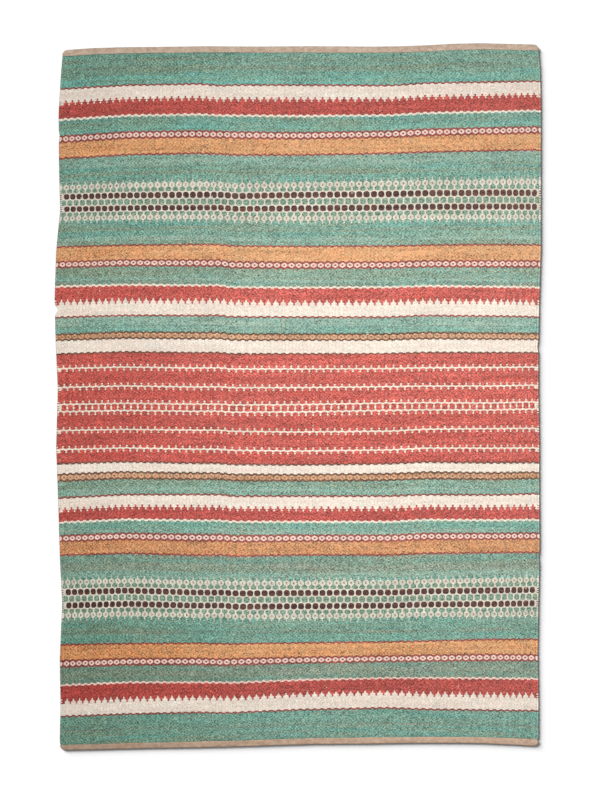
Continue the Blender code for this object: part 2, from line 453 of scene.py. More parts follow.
def smooth_field(rows, columns, row_grain, column_grain):
    """Seeded noise around nought, drawn on a coarse grid and eased between its points."""
    tall = max(2, int(rows / row_grain) + 2)
    wide = max(2, int(columns / column_grain) + 2)
    coarse = RANDOM.normal(size=(tall, wide))
    row_at = np.linspace(0, tall - 1.001, rows)
    column_at = np.linspace(0, wide - 1.001, columns)
    row_low = row_at.astype(int)
    column_low = column_at.astype(int)
    row_share = eased(row_at - row_low)[:, None]
    column_share = eased(column_at - column_low)[None, :]
    upper = coarse[row_low][:, column_low] * (1 - column_share)
    upper = upper + coarse[row_low][:, column_low + 1] * column_share
    lower = coarse[row_low + 1][:, column_low] * (1 - column_share)
    lower = lower + coarse[row_low + 1][:, column_low + 1] * column_share
    return upper * (1 - row_share) + lower * row_share


END_ACROSS = np.linspace(0.0, WIDTH, KNOTS + 1)
HEAD_KNOTS = read_off(ENDS, END_ACROSS, "head")
FOOT_KNOTS = read_off(ENDS, END_ACROSS, "foot")
CENTRE_X = (column_of(SELVEDGES, "right").max() - column_of(SELVEDGES, "left").max()) / 2
CENTRE_Y = (HEAD_KNOTS.max() - FOOT_KNOTS.max()) / 2


def across_to_x(across, along):
    """Where a distance from the left selvedge lies, a distance from the foot."""
    left = read_off(SELVEDGES, along, "left")
    right = read_off(SELVEDGES, along, "right")
    x = -WIDTH / 2 - left + across / WIDTH * (WIDTH + left + right) - CENTRE_X
    for nick in NICKS:
        bite = nick.depth * np.exp(-(((along - nick.along) / nick.half_width) ** 2))
        inward = 1.0 if nick.side == "left" else -1.0
        reach = across if nick.side == "left" else WIDTH - across
        x = x + inward * bite * np.exp(-reach / NICK_REACH)
    return x


def corner_inset(across):
    """How far a rounded corner draws an end in, by the distance from the nearer selvedge."""
    near = np.clip(np.minimum(across, WIDTH - across), 0.0, CORNER_RADIUS)
    reach = CORNER_RADIUS - near
    return CORNER_RADIUS - np.sqrt(CORNER_RADIUS ** 2 - reach ** 2 * 0.92)


def crease_height(across):
    return sum(c.height * np.exp(-(((across - c.across) / c.half_width) ** 2)) for c in CREASES)


def picks_in(place, before):
    """How many picks a band has: before a chart, so many that the chart starts on the odd warps."""
    band = BANDS[place]
    wanted = band.depth / 1000.0 / PICK
    if band.chart != "plain":
        return len(CHARTS[band.chart])
    count = round(wanted)
    plain_next = place + 1 == len(BANDS) or BANDS[place + 1].chart == "plain"
    if plain_next or (before + count) % 2 == 0:
        return count
    return count + 1 if wanted > count else count - 1


def lay_out_picks():
    """For each pick its mark, its yarns' names, its place along the rug, and how it swells."""
    marks = []
    yarns = []
    depths = []
    heads = []
    swells = {}
    for place, band in enumerate(BANDS):
        names = band.yarns.split()
        count = picks_in(place, len(marks))
        chart = CHARTS[band.chart]
        chart = chart * (count // len(chart))
        girths = [1.0 if mark in "sco" else YARNS[names[int(mark) - 1]].girth for mark in chart]
        girths = PICK_SHARES.get(band.chart, girths)
        heads.append(len(marks))
        for step, swell in enumerate(SWELLS.get(band.chart, ())):
            swells[len(marks) - 1 + step] = swell / 100.0
        marks.extend(chart)
        yarns.extend([names] * count)
        depths.extend(band.depth / 1000.0 * girth / sum(girths) for girth in girths)
    edges = np.concatenate([[0.0], np.cumsum(depths)])
    centres = LENGTH - (edges[:-1] + edges[1:]) / 2
    return marks, yarns, centres, heads, swells


MARKS, PICK_YARNS, PICK_ALONG, BAND_HEADS, PICK_SWELLS = lay_out_picks()
PICKS = len(MARKS)
SHOWS = (np.arange(PICKS)[:, None] + np.arange(WARPS)[None, :]) % 2 == 1


def warp_borders():
    """The distances from the left selvedge of the borders between ribs."""
    centres = read_off(WARP_PLACES, np.arange(WARPS), "across")
    centres[1:-1] += RANDOM.uniform(-0.0003, 0.0003, WARPS - 2)
    inner = (centres[:-1] + centres[1:]) / 2
    return np.concatenate([[TURN_WIDTH], inner, [WIDTH - TURN_WIDTH]])


BORDERS = warp_borders()


def yarn_for(pick, place):
    """The name of the yarn at a pick: the middle of a stitch, or its flanks."""
    names = PICK_YARNS[pick]
    mark = MARKS[pick]
    if mark == "s":
        return names[1] if place == "flank" else names[3]
    if mark == "c":
        return names[1] if place == "flank" else names[2]
    if mark == "o":
        return names[1] if place == "flank" else names[4]
    return names[int(mark) - 1]


def painted_shade_power():
    """The painted shade at each pick over each warp, as a power on the dye: darker towards the left and the
    ends.
    """
    middles = (BORDERS[:-1] + BORDERS[1:]) / 2
    across = between(PAINTED_SHADE_ACROSS, middles)
    along = between(PAINTED_SHADE_ALONG, PICK_ALONG)
    again = between(PAINTED_SHADE_AGAIN, PICK_ALONG)
    return 1.0 + across[None, :] * (1.0 + again[:, None]) + along[:, None]


def stitch_colours():
    """Each pick's colour over each warp, in linear light: at its left flank, middle and right flank."""
    drift = np.clip(0.5 + 0.5 * smooth_field(PICKS, WARPS, 2.2, 14), 0, 1)
    value = 1 + STREAK_VALUE * smooth_field(PICKS, WARPS, 1.5, 12)
    value = value * (1 + SLOW_VALUE * smooth_field(PICKS, WARPS, 12, 12))
    value = value * (1 + STITCH_VALUE * RANDOM.normal(size=(PICKS, WARPS)))
    value = value * (1 + RIB_STREAK_VALUE * smooth_field(PICKS, WARPS, 7, 1.0))
    dark_runs = smooth_field(PICKS, WARPS, 1.0, 3.5) > DARK_RUN_OVER
    value = np.where(dark_runs, value * DARK_RUN_SHADE, value)
    warmth = STITCH_WARMTH * RANDOM.normal(size=(PICKS, WARPS))
    warmth = warmth + SLOW_WARMTH * smooth_field(PICKS, WARPS, 3, 7)
    warmth = warmth + RIB_STREAK_WARMTH * smooth_field(PICKS, WARPS, 9, 1.0)
    shade_power = painted_shade_power()[:, :, None]
    pale_fibre = linear(PALE_FIBRE)
    colours = []
    for place in ("flank", "middle", "flank"):
        names = [yarn_for(pick, place) for pick in range(PICKS)]
        tone = np.array([linear(YARNS[name].tone) for name in names])[:, None, :]
        second = np.array([linear(YARNS[name].second_tone) for name in names])[:, None, :]
        fades = np.array([YARNS[name].fades for name in names])[:, None, None]
        # Painted shade: the tones are raised to a power, darker towards the left and the ends
        colour = (tone + (second - tone) * drift[:, :, None]) ** (1 + (shade_power - 1) * fades)
        own_value = value * (1 + FLANK_VALUE * RANDOM.normal(size=value.shape))
        fleck = RANDOM.random(value.shape)
        own_value = np.where(fleck < DARK_FLECKS, own_value * DARK_FLECK_SHADE, own_value)
        calm = 1 - CREAM_CALM * (1 - fades[:, :, 0])
        own_value = 1 + (np.clip(own_value, 0.5, 1.5) - 1) * calm
        colour = colour * own_value[:, :, None]
        tint = [1 + warmth * calm, np.ones_like(warmth), 1 - BLUE_COOLER * warmth * calm]
        colour = colour * np.stack(tint, axis=2)
        pale = colour * (1 - PALE_FLECK_SHARE) + pale_fibre * PALE_FLECK_SHARE
        colour = np.where((fleck > 1 - PALE_FLECKS)[:, :, None], pale, colour)
        colours.append(np.clip(colour / FULL_LIGHT, 0, 1))
    return np.stack(colours, axis=2)


STITCH_COLOURS = stitch_colours()
LEFT_FLANK, MIDDLE, RIGHT_FLANK = 0, 1, 2


def flank_shares():
    """The share of the width that a stitch's flanks take at each row, over each warp."""
    shares = np.full((PICKS, WARPS), FLANK_SHARE)
    for pick, mark in enumerate(MARKS):
        if mark in "co":
            shares[pick - 2:pick + 3, 0::2] = np.array(RING_SIDES)[:, None]
            shares[pick - 1:pick + 2, 1::2] = np.array(CORE_SIDES)[:, None]
    return shares


def thinness():
    """How thin the weft is over each rib at each row, between the picks that show there."""
    flank = np.array([1 - YARNS[yarn_for(pick, "flank")].girth for pick in range(PICKS)])
    above = np.concatenate([flank[:1], flank[:-1]])
    below = np.concatenate([flank[1:], flank[-1:]])
    hidden = (above + below) / 2
    return np.where(SHOWS, flank[:, None], hidden[:, None])


def swells():
    """How far each border between two ribs is pushed to the right, as a share of a rib."""
    lean = ZIGZAG * np.where(SHOWS[:, 1:], -1.0, 1.0)
    swelling_left = np.where(np.arange(WARPS - 1) % 2 == 1, 1.0, -1.0)
    for pick, swell in PICK_SWELLS.items():
        lean[pick] = swell * swelling_left
    return lean


def foot_tape_shown(across):
    """How much of the tape shows at the foot, where it gets wider towards the right."""
    return TAPE_FOOT_SHOWN * (1 - FOOT_TAPE_NARROWER * (1 - across / WIDTH))


def out_of_tapes(across, along, start, reach):
    """How far points are out of the tapes: 0 up to a start from their edges, and 1 past a reach."""
    out = np.minimum(along - foot_tape_shown(across), LENGTH - TAPE_HEAD_SHOWN - along)
    return np.clip((out - start) / reach, 0.0, 1.0)


def squeeze_at_tapes(across, along, height, pressed):
    """Heights drawn in to the pressed end of the cloth inside each fold of tape."""
    return pressed + (height - pressed) * eased(out_of_tapes(across, along, *SQUEEZE_OVER))


def pull_from_sides(across, along):
    """Distances across, drawn in from the selvedges where the cloth goes into the tapes."""
    share = 1 - out_of_tapes(across, along, *PULL_OVER)
    middle = WIDTH / 2
    return middle + (across - middle) * (1 - share * PRESSED_SIDE_INSET / middle)


def pull_from_ends(across, along):
    """Distances along, kept short of the folds of the tapes and of the rounded corners."""
    spare = FOLD_RADIUS + CLEAR_OF_FOLD + corner_inset(across)
    return np.clip(along, spare, LENGTH - spare)


def swollen(pair, bulge):
    return pair[0] + pair[1] * bulge


def face_points():
    """The points of the face: a row for each pick, three for each rib, and the turns at both sides."""
    thin = thinness()
    shares = flank_shares()
    widths = np.diff(BORDERS)
    along = np.repeat(PICK_ALONG[:, None], 3 * WARPS + 5, axis=1)
    across = np.zeros_like(along)
    height = np.zeros_like(along)
    depth = np.zeros_like(along)

    jitter = HEIGHT_JITTER * RANDOM.normal(size=(PICKS, WARPS))
    jitter = jitter + HEIGHT_WANDER * smooth_field(PICKS, WARPS, 3, 6)
    border = np.repeat(BORDERS[None, :], PICKS, axis=0)
    border[:, 1:-1] += swells() * np.minimum(widths[:-1], widths[1:])
    border[:, 1:-1] += BORDER_JITTER * RANDOM.normal(size=(PICKS, WARPS - 1))
    left, right = border[:, :-1], border[:, 1:]
    crest = THICKNESS - np.where(SHOWS, 0.0, STITCH_GROOVE)
    crest = crest + np.where(SHOWS, jitter, jitter * HIDDEN_JITTER_SHARE)
    crest = crest - THIN_YARN_LOWER * thin

    across[:, 2:-2:3] = border
    across[:, 3:-3:3] = left + shares * (right - left)
    across[:, 4:-2:3] = right - shares * (right - left)
    height[:, 2:-2:3] = THICKNESS - RIB_VALLEY
    height[:, 3:-3:3] = crest
    height[:, 4:-2:3] = crest + FLANK_JITTER * RANDOM.normal(size=crest.shape)
    # Painted shade in the depth values: 1 on a shown stitch, darker in the grooves between picks and
    # darkest in the valleys between ribs
    depth[:, 3:-3:3] = np.where(SHOWS, 1.0, HIDDEN_PAINTED_SHADE)
    depth[:, 4:-2:3] = np.where(SHOWS, 1.0, HIDDEN_PAINTED_SHADE)

    bulges = np.where(SHOWS[:, [0, -1]], 1.0, 0.0)
    bulges = bulges + RANDOM.uniform(-TURN_JITTER, TURN_JITTER, (PICKS, 2))
    for side, edge, inner, inward in ((0, 0, 1, 1.0), (1, -1, -2, -1.0)):
        start = 0.0 if side == 0 else WIDTH
        bulge = bulges[:, side]
        across[:, edge] = start - inward * swollen(EDGE_OUT, bulge)
        across[:, inner] = start + inward * swollen(TOP_REACH, bulge)
        height[:, edge] = swollen(EDGE_HEIGHT, bulge)
        height[:, inner] = swollen(TOP_HEIGHT, bulge)
        depth[:, edge] = EDGE_POINT_PAINTED_SHADE
        depth[:, inner] = swollen(TOP_PAINTED_SHADE, bulge)
    height[:, [2, -3]] = BESIDE_TURN_HEIGHT

    height[:, 1:-1] += crease_height(across[:, 1:-1])
    wander = WEFT_WANDER * smooth_field(PICKS, across.shape[1], 1.2, 4)
    return finish_points(across, along + wander, height, PRESSED_HIGH), depth


def underside_points():
    """The points of the underside, two for each rib, where every pick shows on the other warps."""
    along = np.repeat(PICK_ALONG[:, None], 2 * WARPS + 1, axis=1)
    across = np.zeros_like(along)
    height = np.zeros_like(along)
    across[:, 0::2] = BORDERS
    across[:, 1::2] = (BORDERS[:-1] + BORDERS[1:]) / 2
    across[:, 0] = TURN_REACH
    across[:, -1] = WIDTH - TURN_REACH
    height[:, 0::2] = UNDERSIDE_VALLEY
    height[:, 1::2] = 0.0
    return across, along, height


def finish_points(across, along, height, pressed):
    """Points in place, from distances across and along the rug, and pressed ends."""
    height = squeeze_at_tapes(across, along, height, pressed)
    across = pull_from_sides(across, along)
    along = pull_from_ends(across, along)
    x = across_to_x(across, along)
    y = along_to_y(across, along)
    return np.stack([x, y, height], axis=2)


LIFT_ACROSS = np.linspace(0.0, WIDTH, 241)


def lift_table():
    """How far the wefts lie towards the head on an even grid, with the bends between rows eased."""
    stations = np.array([0.0, *column_of(BOWS, "along"), LENGTH])
    rows = [-np.interp(LIFT_ACROSS, END_ACROSS, FOOT_KNOTS) - FOOT_LONGER]
    for bow in BOWS:
        line = np.interp(LIFT_ACROSS, BOW_ACROSS, np.array(bow[1:]) / 1000.0)
        rows.append(line)
    rows.append(np.interp(LIFT_ACROSS, END_ACROSS, HEAD_KNOTS))
    rows = np.array(rows)
    for _ in range(2):
        rows[1:-1, 1:-1] = (rows[1:-1, :-2] + 2 * rows[1:-1, 1:-1] + rows[1:-1, 2:]) / 4
    return stations, rows


LIFT_STATIONS, LIFT_ROWS = lift_table()


def along_to_y(across, along):
    """Where points at distances across and along lie, with the bow of the wefts and the ends."""
    low = np.clip(np.searchsorted(LIFT_STATIONS, along, side="right") - 1, 0, len(LIFT_STATIONS) - 2)
    share = (along - LIFT_STATIONS[low]) / (LIFT_STATIONS[low + 1] - LIFT_STATIONS[low])
    place = np.clip(across / WIDTH * (len(LIFT_ACROSS) - 1), 0, len(LIFT_ACROSS) - 1.001)
    left = place.astype(int)
    right_share = place - left
    above = LIFT_ROWS[low + 1, left] * (1 - right_share) + LIFT_ROWS[low + 1, left + 1] * right_share
    below = LIFT_ROWS[low, left] * (1 - right_share) + LIFT_ROWS[low, left + 1] * right_share
    return -LENGTH / 2 + along + below + (above - below) * share - CENTRE_Y


def underside_rows(first, last):
    """The picks that the underside keeps points at: all in a motif, and one in a few between."""
    rows = [first]
    for pick in range(first + 1, last):
        around = {*PICK_YARNS[pick - 1], *PICK_YARNS[pick], *PICK_YARNS[pick + 1]}
        if len(around) > 1 or pick - rows[-1] >= UNDERSIDE_PICKS:
            rows.append(pick)
    rows.append(last)
    return rows


FACE, FACE_PAINTED_SHADE = face_points()


def add_object(name, data):
    item = bpy.data.objects.new(name, data)
    bpy.context.scene.collection.objects.link(item)
    return item


def add_mesh(name, points, polygons, smooth_count):
    """A new object from points and arrays of polygons, of which the first so many are smooth."""
    mesh = bpy.data.meshes.new(name)
    mesh.vertices.add(len(points))
    mesh.vertices.foreach_set("co", np.ascontiguousarray(points, np.float32).ravel())
    corners = np.concatenate([np.asarray(part).ravel() for part in polygons])
    sizes = np.concatenate([np.full(len(part), len(part[0])) for part in polygons])
    starts = np.concatenate([[0], np.cumsum(sizes)[:-1]])
    mesh.loops.add(len(corners))
    mesh.loops.foreach_set("vertex_index", corners.astype(np.int32))
    mesh.polygons.add(len(sizes))
    mesh.polygons.foreach_set("loop_start", starts.astype(np.int32))
    mesh.polygons.foreach_set("use_smooth", np.arange(len(sizes)) < smooth_count)
    mesh.update(calc_edges=True)
    mesh.validate()
    return add_object(name, mesh)


def set_face_colours(mesh, colours):
    # Each stitch's dye, with painted light and shade at the turns, edges, walls and seams, and painted
    # shade towards the left and the ends
    attribute = mesh.attributes.new("dye_and_painted_light", "FLOAT_COLOR", "FACE")
    filled = np.ones((len(colours), 4), np.float32)
    filled[:, :3] = colours
    attribute.data.foreach_set("color", filled.ravel())


def set_point_values(mesh, name, values):
    attribute = mesh.attributes.new(name, "FLOAT", "POINT")
    attribute.data.foreach_set("value", np.ascontiguousarray(values, np.float32))


def set_flat_map(mesh, polygons_down):
    """A map for the surface, seen from above: the face on one half, and the underside on the other."""
    points = np.zeros(len(mesh.vertices) * 3, np.float32)
    mesh.vertices.foreach_get("co", points)
    points = points.reshape(-1, 3)
    corners = np.zeros(len(mesh.loops), np.int32)
    mesh.loops.foreach_get("vertex_index", corners)
    low, high = points.min(axis=0), points.max(axis=0)
    share = (points - low) / (high - low)
    flat = share[corners][:, :2].copy()
    flat[:, 1] = MAP_LOW + MAP_TALL * flat[:, 1] + np.where(polygons_down, UNDERSIDE_MAP_UP, 0.0)
    flat[:, 0] = MAP_LEFT + MAP_WIDE * flat[:, 0]
    layer = mesh.uv_layers.new(name="OFBake")
    layer.data.foreach_set("uv", flat.astype(np.float32).ravel())


# The corners of a quad in a grid, as steps down and along, seen from above and from below
FROM_ABOVE = ((0, 0), (1, 0), (1, 1), (0, 1))
FROM_BELOW = ((0, 0), (0, 1), (1, 1), (1, 0))


def grid_quads(start, rows, wide, ring, closed=False):
    """The quads of a grid of points that starts at a number, with their corners in a ring's order."""
    steps = wide if closed else wide - 1
    row, place = np.meshgrid(np.arange(rows - 1), np.arange(steps), indexing="ij")
    corners = [start + (row + down) * wide + (place + along) % wide for down, along in ring]
    return np.stack(corners, axis=-1).reshape(-1, 4)


def build_strip(name, first, last, material):
    """One closed strip of the woven cloth, between two picks, with its face, underside and sides."""
    rows = last - first + 1
    face_wide = FACE.shape[1]
    face_points_here = FACE[first:last + 1].reshape(-1, 3)

    kept = underside_rows(first, last)
    across, along, height = underside_points()
    across, along, height = across[kept], along[kept], height[kept]
    order = np.arange(len(kept))[:, None]
    low_here = (order + np.arange(WARPS)[None, :] + kept[0]) % 2 == 0
    height[:, 1::2] += np.where(low_here, 0.0, UNDERSIDE_GROOVE)
    under = finish_points(across, along, height, PRESSED_LOW)
    under_wide = under.shape[1]
    under_start = len(face_points_here)
    points = np.concatenate([face_points_here, under.reshape(-1, 3)])

    def face_at(row, place):
        return row * face_wide + place

    def under_at(row, place):
        return under_start + row * under_wide + place

    face_quads = grid_quads(0, rows, face_wide, FROM_ABOVE)
    under_quads = grid_quads(under_start, len(kept), under_wide, FROM_BELOW)

    # Colours of the face: over each rib the pick above or below, whichever shows there
    upper = np.arange(first, last)[:, None]
    pick = np.where(SHOWS[first:last], upper, upper + 1)
    ribs = np.arange(WARPS)[None, :]
    stitch = STITCH_COLOURS[pick, ribs]
    face_colours = np.zeros((rows - 1, face_wide - 1, 3))
    face_colours[:, 2:-2:3] = stitch[:, :, LEFT_FLANK]
    face_colours[:, 3:-2:3] = stitch[:, :, MIDDLE]
    face_colours[:, 4:-2:3] = stitch[:, :, RIGHT_FLANK]
    turns = np.arange(first, last)
    left_turn = STITCH_COLOURS[turns, 0, LEFT_FLANK]
    right_turn = STITCH_COLOURS[turns, -1, RIGHT_FLANK]
    # Painted light and shade: left edge darker, right edge lighter, turns lighter, the rib beside the right
    # turn darker
    face_colours[:, 0] = left_turn * EDGE_PAINTED_LIGHT_AND_SHADE[0]
    face_colours[:, 1] = left_turn * TURN_PAINTED_HIGHLIGHT[0]
    face_colours[:, -3] *= BESIDE_TURN_PAINTED_SHADE
    face_colours[:, -2] = right_turn * TURN_PAINTED_HIGHLIGHT[1]
    face_colours[:, -1] = right_turn * EDGE_PAINTED_LIGHT_AND_SHADE[1]

    # Colours of the underside: the other warps show there
    upper = np.array(kept[:-1])[:, None]
    pick = np.where(SHOWS[kept[:-1]], upper + 1, upper)
    under_colours = np.zeros((len(kept) - 1, under_wide - 1, 3))
    under_colours[:, 0::2] = STITCH_COLOURS[pick, ribs, LEFT_FLANK]
    under_colours[:, 1::2] = STITCH_COLOURS[pick, ribs, RIGHT_FLANK]

    # The walls down both selvedges, and across both ends of the strip, coloured with painted shade
    walls = []
    wall_colours = []
    for step, (start, stop) in enumerate(zip(kept[:-1], kept[1:])):
        start_row, stop_row = start - first, stop - first
        for edge, under_edge, turn in ((0, 0, 1), (face_wide - 1, under_wide - 1, -1)):
            ring = [face_at(start_row, edge), under_at(step, under_edge), under_at(step + 1, under_edge)]
            ring.extend(face_at(row, edge) for row in range(stop_row, start_row, -1))
            walls.append(ring[::turn])
            wall_colours.append(STITCH_COLOURS[start, 0 if edge == 0 else -1, MIDDLE] * WALL_PAINTED_SHADE)
    side_walls = len(walls)
    for row, step, turn in ((0, 0, 1), (rows - 1, len(kept) - 1, -1)):
        for rib in range(WARPS):
            above = [face_at(row, 2 + 3 * rib + k) for k in range(4)]
            below = [under_at(step, 2 * rib + k) for k in (2, 1, 0)]
            if rib == 0:
                above = [face_at(row, 0), face_at(row, 1), *above]
            if rib == WARPS - 1:
                above = [*above, face_at(row, face_wide - 2), face_at(row, face_wide - 1)]
            walls.append([*above, *below][::turn])
            wall_colours.append(STITCH_COLOURS[first if row == 0 else last, rib, MIDDLE] * SEAM_PAINTED_SHADE)

    polygons = [face_quads, under_quads, *[[ring] for ring in walls]]
    quads = len(face_quads) + len(under_quads)
    strip = add_mesh(name, points, polygons, quads + side_walls)
    mesh = strip.data
    colours = np.concatenate([
        face_colours.reshape(-1, 3),
        under_colours.reshape(-1, 3),
        np.array(wall_colours),
    ])
    set_face_colours(mesh, colours)
    # Painted shade for the face and the underside, kept in the depth attribute
    under_depth = np.full(under.shape[0] * under_wide, UNDERSIDE_PAINTED_SHADE)
    set_point_values(mesh, "depth", np.concatenate([FACE_PAINTED_SHADE[first:last + 1].ravel(), under_depth]))
    face_ribs = [[-0.6, -0.3], np.arange(3 * WARPS + 1) / 3, [WARPS + 0.3, WARPS + 0.6]]
    face_ribs = np.tile(np.concatenate(face_ribs), rows)
    under_ribs = np.tile(np.arange(under_wide) / 2, len(kept))
    set_point_values(mesh, "rib", np.concatenate([face_ribs, under_ribs]))
    pick_numbers = [np.repeat(np.arange(first, last + 1), face_wide), np.repeat(kept, under_wide)]
    set_point_values(mesh, "pick", np.concatenate(pick_numbers))
    down = np.zeros(len(mesh.loops), bool)
    down[len(face_quads) * 4:quads * 4] = True
    set_flat_map(mesh, down)
    mesh.materials.append(material)
    return strip


def tape_section(shown, inset):
    """The folded tape's section, as distances in from the fold and heights, outside then inside."""
    across_steps = 5
    fold_steps = 8
    outside = []
    inside = []
    for step in range(across_steps):
        share = step / across_steps
        reach = shown + (FOLD_RADIUS - shown) * share
        outside.append((reach, 2 * FOLD_RADIUS, 1))
        inside.append((reach, TAPE_THICKNESS, -1))
    for step in range(fold_steps + 1):
        turn = math.pi * step / fold_steps
        radius = FOLD_RADIUS - TAPE_THICKNESS
        outside.append((FOLD_RADIUS * (1 - math.sin(turn)), FOLD_RADIUS * (1 + math.cos(turn)), 0))
        inside.append((FOLD_RADIUS - radius * math.sin(turn), FOLD_RADIUS - radius * math.cos(turn), 0))
    for step in range(1, across_steps + 1):
        share = step / across_steps
        reach = FOLD_RADIUS + (shown - FOLD_RADIUS) * share
        outside.append((reach, 0.0, 0))
        inside.append((reach, 2 * FOLD_RADIUS - TAPE_THICKNESS, 1))
    section = np.array(outside + inside)
    squeeze = (shown - inset) / shown
    section[:, 0] = inset + section[:, 0] * squeeze
    return section


def build_tape(name, shown, at_head, material):
    """A strip of tape folded over one end of the cloth, with the small waves that sewing leaves."""
    stations = 360
    shares = np.linspace(0.0, 1.0, stations + 1)
    puckers = smooth_field(stations + 1, 2, 2.2, 1)[:, 0]
    slow = smooth_field(stations + 1, 2, 14, 1)[:, 0]
    rows = []
    for station, share in enumerate(shares):
        across = share * WIDTH
        shows = shown
        if not at_head:
            drawn = FOOT_TAPE_DRAWN_IN * math.exp(-(WIDTH - across) / FOOT_TAPE_DRAWN_OVER)
            shows = foot_tape_shown(across) * (1 - drawn)
        section = tape_section(shows, float(corner_inset(np.array(across))))
        reach = section[:, 0] + np.where(section[:, 0] > 0.6 * shows, TAPE_EDGE_WANDER * slow[station], 0.0)
        height = section[:, 1] + TAPE_PUCKERS * puckers[station] * (section[:, 2] == 1)
        height = height + (crease_height(across) * TAPE_OVER_CREASE) * (section[:, 2] == 1)
        along = LENGTH - reach if at_head else reach
        x = across_to_x(np.full(len(reach), across), along)
        y = along_to_y(np.full(len(reach), across), along)
        rows.append(np.stack([x, y, height], axis=1))
    rows = np.array(rows)
    wide = rows.shape[1]
    points = rows.reshape(-1, 3)
    turn = -1 if at_head else 1
    quads = grid_quads(0, stations + 1, wide, FROM_BELOW, closed=True)[:, ::turn]
    caps = []
    half = wide // 2
    for base, cap_turn in ((0, -turn), (stations * wide, turn)):
        for place in range(half - 1):
            ring = [base + place, base + place + 1, base + wide - 2 - place, base + wide - 1 - place]
            caps.append(ring[::cap_turn])
    tape = add_mesh(name, points, [quads, np.array(caps)], len(quads))
    down = np.zeros(len(tape.data.loops), bool)
    for polygon in tape.data.polygons:
        if polygon.normal.z < -0.3:
            down[polygon.loop_start:polygon.loop_start + polygon.loop_total] = True
    set_flat_map(tape.data, down)
    # Painted shade, kept in the depth attribute: darker towards the tape's outer fold, and the foot's tape
    # darker towards the left
    shade = np.interp(np.tile(section[:, 0], stations + 1), FOLD_SHADE_REACH, FOLD_SHADE)
    if not at_head:
        shade = shade * np.repeat(between(FOOT_TAPE_PAINTED_SHADE, shares * WIDTH), wide)
    set_point_values(tape.data, "depth", shade)
    tape.data.materials.append(material)
    return tape


class Wiring:
    """A new material, and the few kinds of node that the cloth and the tapes are made of."""

    def __init__(self, name):
        self.material = bpy.data.materials.new(name)
        self.material.use_nodes = True
        self.nodes = self.material.node_tree.nodes
        self.links = self.material.node_tree.links
        self.shader = self.nodes["Principled BSDF"]

    def set_up(self, value, socket):
        """A socket set to a number or linked to an output."""
        if isinstance(value, (int, float)):
            socket.default_value = value
        else:
            self.links.new(value, socket)

    def attribute(self, name, output="Fac"):
        node = self.nodes.new("ShaderNodeAttribute")
        node.attribute_name = name
        return node.outputs[output]

    def maths(self, operation, first, second):
        node = self.nodes.new("ShaderNodeMath")
        node.operation = operation
        self.set_up(first, node.inputs[0])
        self.set_up(second, node.inputs[1])
        return node.outputs[0]

    def noise(self, scale, detail, roughness=0.55, turn=0.0):
        """Noise in the piece's own metres, stretched by a scale for each direction."""
        place = self.nodes.new("ShaderNodeTexCoord")
        mapping = self.nodes.new("ShaderNodeMapping")
        mapping.inputs["Scale"].default_value = scale
        mapping.inputs["Rotation"].default_value = (0.0, 0.0, turn)
        self.links.new(place.outputs["Object"], mapping.inputs["Vector"])
        node = self.nodes.new("ShaderNodeTexNoise")
        node.inputs["Scale"].default_value = 1.0
        node.inputs["Detail"].default_value = detail
        node.inputs["Roughness"].default_value = roughness
        self.links.new(mapping.outputs["Vector"], node.inputs["Vector"])
        return node.outputs["Fac"]

    def spread(self, value, low, high, from_low=0.0, from_high=1.0):
        """A value moved from one range to another."""
        node = self.nodes.new("ShaderNodeMapRange")
        node.inputs["From Min"].default_value = from_low
        node.inputs["From Max"].default_value = from_high
        node.inputs["To Min"].default_value = low
        node.inputs["To Max"].default_value = high
        self.links.new(value, node.inputs["Value"])
        return node.outputs["Result"]

    def vectors(self, operation, first, second, socket):
        node = self.nodes.new("ShaderNodeVectorMath")
        node.operation = operation
        self.links.new(first, node.inputs[0])
        self.links.new(second, node.inputs[socket])
        return node.outputs["Vector"]

    def bump(self, height, strength, distance):
        node = self.nodes.new("ShaderNodeBump")
        node.inputs["Strength"].default_value = strength
        node.inputs["Distance"].default_value = distance
        self.links.new(height, node.inputs["Height"])
        self.links.new(node.outputs["Normal"], self.shader.inputs["Normal"])


def add_plies(wiring):
    """Slanted strokes, one to a rib, where the yarn's twist shows: one way in places, then the other."""
    rib = wiring.attribute("rib")
    pick = wiring.attribute("pick")
    wobble = wiring.spread(wiring.noise((60.0, 90.0, 60.0), 2.0), -0.5, 0.5)
    base = wiring.maths("ADD", rib, wobble)
    slant = wiring.maths("MULTIPLY", pick, PLY_SLANT)
    waves = []
    for operation in ("ADD", "SUBTRACT"):
        angle = wiring.maths("MULTIPLY", wiring.maths(operation, base, slant), 2 * math.pi)
        waves.append(wiring.maths("SINE", angle, 0.0))
    patch = wiring.noise((9.0, 22.0, 9.0), 1.0)
    backward = wiring.spread(patch, 0.0, 1.0, 0.42, 0.50)
    forward = wiring.spread(patch, 1.0, 0.0, 0.50, 0.58)
    first = wiring.maths("MULTIPLY", waves[0], backward)
    second = wiring.maths("MULTIPLY", waves[1], forward)
    return wiring.maths("ADD", first, second)


